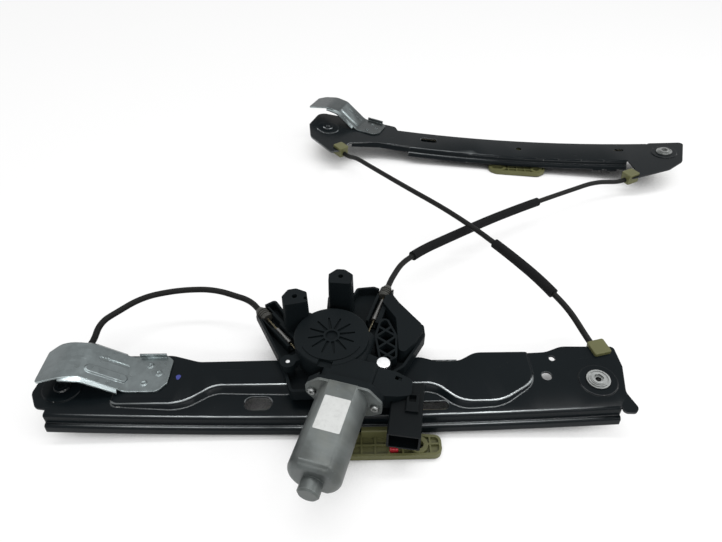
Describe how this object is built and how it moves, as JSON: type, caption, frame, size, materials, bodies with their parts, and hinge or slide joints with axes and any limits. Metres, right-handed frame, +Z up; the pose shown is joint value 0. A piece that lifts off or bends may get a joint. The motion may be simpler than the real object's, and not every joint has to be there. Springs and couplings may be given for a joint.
{
  "type": "cable-operated power window regulator",
  "caption": "Two-rail cable window regulator: gear motor on the main rail, crossed conduits, end pulleys and sliding glass carriages.",
  "frame": {"origin": "middle of the floor rectangle under the whole regulator, laid with its glass side down", "axes": "+X along the main rail, +Y from the main rail to the second rail, +Z up"},
  "size_m": [0.7762, 0.6623, 0.0799],
  "materials": {
    "black_paint": "glossy electrocoat",
    "zinc": "galvanised",
    "bright_zinc": "bright zinc plate",
    "can_zinc": "zinc-plated deep-drawn steel",
    "steel": "ground",
    "black_plastic": "moulded satin",
    "khaki_plastic": "moulded natural acetal",
    "white_plastic": "moulded",
    "red_plastic": "moulded",
    "conduit": "extruded sheath",
    "sleeve_foam": "soft foam tube",
    "cable_steel": "greased wire rope",
    "brass": "plain",
    "copper": "bare copper",
    "ferrite": "sintered",
    "laminations": "stacked sheet",
    "carbon": "pressed carbon",
    "board": "coated laminate"
  },
  "bodies": {
    "frame": {"brush_carrier": "black_plastic", "brushes": "carbon", "can_screws": "bright_zinc", "carrier": "black_plastic", "carrier_rivets": "bright_zinc", "connector_housing": "black_plastic", "connector_pins": "copper", "control_board": "board", "control_cover": "black_plastic", "cross_conduit": "conduit", "cross_sleeve": "sleeve_foam", "drum_axle": "steel", "gear_housing": "black_plastic", "gearbox_lid": "steel", "gearbox_screws": "bright_zinc", "left_conduit": "conduit", "left_drum_cable": "cable_steel", "left_ferrule": "bright_zinc", "left_outlet_cap": "black_plastic", "main_bracket": "zinc", "main_cable": "cable_steel", "main_left_conduit_seat": "khaki_plastic", "main_left_rivet": "bright_zinc", "main_rail": "black_paint", "main_right_bush": "bright_zinc", "main_right_conduit_seat": "khaki_plastic", "motor_can": "can_zinc", "motor_magnets": "ferrite", "right_conduit": "conduit", "right_drum_cable": "cable_steel", "right_ferrule": "bright_zinc", "right_outlet_cap": "black_plastic", "right_sleeve": "sleeve_foam", "second_bracket": "zinc", "second_cable": "cable_steel", "second_left_conduit_seat": "khaki_plastic", "second_left_rivet": "bright_zinc", "second_rail": "black_paint", "second_right_bush": "bright_zinc", "second_right_conduit_seat": "khaki_plastic", "shaft_bearings": "brass"},
    "armature": {"armature_shaft": "steel", "armature_core": "laminations", "armature_windings": "copper", "commutator": "copper"},
    "drum": {"cable_drum": "white_plastic", "wound_cable": "cable_steel", "worm_wheel": "white_plastic"},
    "main_slider": {"main_carriage": "khaki_plastic", "main_nipple": "cable_steel", "glass_lock": "red_plastic"},
    "second_slider": {"second_carriage": "khaki_plastic", "second_nipple": "cable_steel"},
    "main_left_roller": {"main_left_pulley": "white_plastic"},
    "main_right_roller": {"main_right_pulley": "white_plastic"},
    "second_left_roller": {"second_left_pulley": "white_plastic"},
    "second_right_roller": {"second_right_pulley": "white_plastic"}
  },
  "joints": [
    {"name": "main_travel", "type": "hinge", "parent": "frame", "child": "main_slider", "pos_m": [-0.1214, -0.24901, 3.22245], "axis": [0, 1, 0], "range_deg": [-2.51, 2.69]},
    {"name": "drum_spin", "type": "hinge", "parent": "frame", "child": "drum", "pos_m": [-0.1214, -0.18501, 0.0385], "axis": [0, 0, 1], "range_deg": [-321.52, 344.44]},
    {"name": "armature_spin", "type": "hinge", "parent": "frame", "child": "armature", "pos_m": [-0.09462, -0.19319, 0.05], "axis": [-0.2924, -0.9563, 0], "range_deg": [-19291.26, 20666.36]},
    {"name": "second_travel", "type": "hinge", "parent": "frame", "child": "second_slider", "pos_m": [0.11038, 0.24451, 2.32245], "axis": [0.165, 0.9863, 0], "range_deg": [-3.49, 3.74]},
    {"name": "main_left_turn", "type": "hinge", "parent": "frame", "child": "main_left_roller", "pos_m": [-0.36485, -0.21701, 0.02571], "axis": [0.0759, 0, 0.9971], "range_deg": [-430.55, 401.9]},
    {"name": "main_right_turn", "type": "hinge", "parent": "frame", "child": "main_right_roller", "pos_m": [0.12206, -0.21701, 0.02571], "axis": [-0.0759, 0, 0.9971], "range_deg": [-430.55, 401.9]},
    {"name": "second_left_turn", "type": "hinge", "parent": "frame", "child": "second_left_roller", "pos_m": [-0.14014, 0.26616, 0.03011], "axis": [0.1072, -0.0179, 0.9941], "range_deg": [-401.9, 430.55]},
    {"name": "second_right_turn", "type": "hinge", "parent": "frame", "child": "second_right_roller", "pos_m": [0.35429, 0.18342, 0.03011], "axis": [-0.1072, 0.0179, 0.9941], "range_deg": [-401.9, 430.55]}
  ],
  "couplings": [
    {"joint": "drum_spin", "follows": "main_travel", "ratio": 128},
    {"joint": "armature_spin", "follows": "main_travel", "ratio": 7680},
    {"joint": "second_travel", "follows": "main_travel", "ratio": 1.3913},
    {"joint": "main_left_turn", "follows": "main_travel", "ratio": -160},
    {"joint": "main_right_turn", "follows": "main_travel", "ratio": -160},
    {"joint": "second_left_turn", "follows": "main_travel", "ratio": 160},
    {"joint": "second_right_turn", "follows": "main_travel", "ratio": 160}
  ]
}
